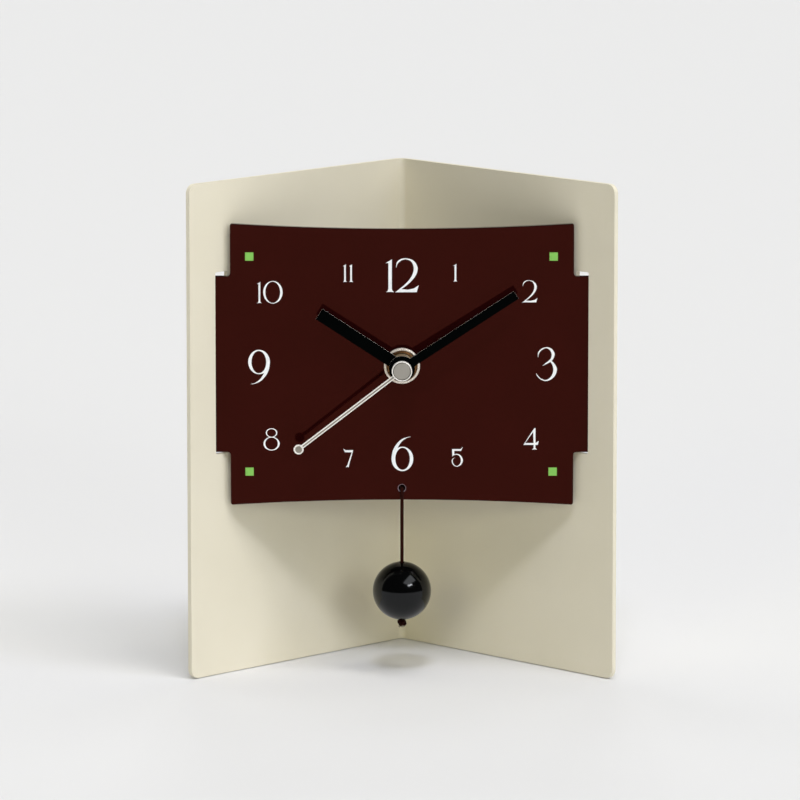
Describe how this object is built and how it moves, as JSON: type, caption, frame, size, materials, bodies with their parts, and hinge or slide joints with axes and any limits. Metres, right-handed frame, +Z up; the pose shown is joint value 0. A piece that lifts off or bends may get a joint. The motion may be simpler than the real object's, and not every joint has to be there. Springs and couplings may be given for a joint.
{
  "type": "desk clock",
  "caption": "Desk clock with a folded sheet stand, a flat dial slotted into its wings, hands, a quartz movement behind the dial and a ball hanging below on a cord.",
  "frame": {"origin": "on the desk, in the middle of the clock's box in X and Y", "axes": "+Z up, +Y from the dial towards the fold at the back, +X to the right as the dial is read"},
  "size_m": [0.1372, 0.074, 0.16],
  "materials": {
    "cream_paint": "smooth satin cream paint on sheet steel",
    "dial_gloss": "polished dark red, with white printed numerals and green squares",
    "rubber": "plain black rubber",
    "nickel": "turned and nickel plated",
    "hand_black": "stamped sheet, matte black",
    "silver": "stamped and turned, satin silver",
    "case_black": "moulded, fine grain",
    "wheel_white": "moulded acetal, off white",
    "wheel_amber": "moulded acetal, amber",
    "battery_sleeve": "printed sleeve over the can",
    "contact_metal": "nickel plated spring strip",
    "board": "bare laminate",
    "crystal_can": "drawn can",
    "magnet": "sintered magnet",
    "stator_steel": "stamped soft iron",
    "copper": "enamelled copper wire",
    "cord": "braided, dark brown",
    "ball_gloss": "polished black"
  },
  "bodies": {
    "stand": {"stand": "cream_paint", "dial_plate": "dial_gloss", "rubber_washer": "rubber", "metal_washer": "nickel", "fixing_nut": "nickel", "movement_case": "case_black", "movement_cover": "case_black", "train_bridge": "wheel_white", "positive_contact": "contact_metal", "negative_contact": "contact_metal", "circuit_board": "board", "chip": "case_black", "quartz_crystal": "crystal_can", "stator_plate": "stator_steel", "coil_bobbin": "wheel_white", "coil_winding": "copper", "coil_core": "stator_steel"},
    "battery": {"battery": "battery_sleeve"},
    "rotor": {"rotor": "wheel_amber", "rotor_magnet": "magnet"},
    "intermediate wheel": {"intermediate_wheel": "wheel_white"},
    "second hand": {"seconds_wheel": "wheel_white", "second_hand": "silver", "second_hand_cap": "silver"},
    "third wheel": {"third_wheel": "wheel_white"},
    "minute hand": {"centre_wheel": "wheel_amber", "minute_hand": "hand_black"},
    "minute wheel": {"minute_wheel": "wheel_white"},
    "hour hand": {"hour_wheel": "wheel_amber", "hour_hand": "hand_black"},
    "setting knob": {"setting_knob": "case_black"},
    "cord bight": {"cord_bight": "cord", "rear_knot": "cord"},
    "pendulum": {"pendulum_cord": "cord", "ball": "ball_gloss", "lower_knot": "cord"}
  },
  "joints": [
    {"name": "second_hand_spin", "type": "hinge", "parent": "stand", "child": "second hand", "pos_m": [0, -0.02204, 0.101], "axis": [0, 1, 0], "continuous": true},
    {"name": "rotor_spin", "type": "hinge", "parent": "stand", "child": "rotor", "pos_m": [0.00684, -0.02204, 0.11534], "axis": [0, 1, 0], "continuous": true},
    {"name": "intermediate_spin", "type": "hinge", "parent": "stand", "child": "intermediate wheel", "pos_m": [0.00438, -0.02204, 0.10858], "axis": [0, 1, 0], "continuous": true},
    {"name": "third_spin", "type": "hinge", "parent": "stand", "child": "third wheel", "pos_m": [-0.00736, -0.02204, 0.10525], "axis": [0, 1, 0], "continuous": true},
    {"name": "minute_hand_spin", "type": "hinge", "parent": "stand", "child": "minute hand", "pos_m": [0, -0.02204, 0.101], "axis": [0, 1, 0], "continuous": true},
    {"name": "minute_wheel_spin", "type": "hinge", "parent": "stand", "child": "minute wheel", "pos_m": [0.00752, -0.02204, 0.09826], "axis": [0, 1, 0], "continuous": true},
    {"name": "hour_hand_spin", "type": "hinge", "parent": "stand", "child": "hour hand", "pos_m": [0, -0.02204, 0.101], "axis": [0, 1, 0], "continuous": true},
    {"name": "knob_spin", "type": "hinge", "parent": "stand", "child": "setting knob", "pos_m": [0.01503, -0.02204, 0.101], "axis": [0, 1, 0], "continuous": true},
    {"name": "battery_slide", "type": "slide", "parent": "stand", "child": "battery", "axis": [0, 1, 0], "range_m": [0, 0.013]},
    {"name": "pendulum_swing", "type": "hinge", "parent": "stand", "child": "cord bight", "pos_m": [0, -0.02291, 0.0607], "axis": [0, 1, 0], "range_deg": [-60, 60]},
    {"name": "pendulum_lift", "type": "hinge", "parent": "cord bight", "child": "pendulum", "pos_m": [0, -0.02291, 0.0607], "axis": [-1, 0, 0], "range_deg": [0, 60]}
  ],
  "couplings": [
    {"joint": "rotor_spin", "follows": "second_hand_spin", "ratio": 30},
    {"joint": "intermediate_spin", "follows": "second_hand_spin", "ratio": -6},
    {"joint": "third_spin", "follows": "second_hand_spin", "ratio": -0.13333},
    {"joint": "minute_hand_spin", "follows": "second_hand_spin", "ratio": 0.016667},
    {"joint": "minute_wheel_spin", "follows": "second_hand_spin", "ratio": -0.0055556},
    {"joint": "hour_hand_spin", "follows": "second_hand_spin", "ratio": 0.0013889},
    {"joint": "knob_spin", "follows": "second_hand_spin", "ratio": 0.016667}
  ]
}
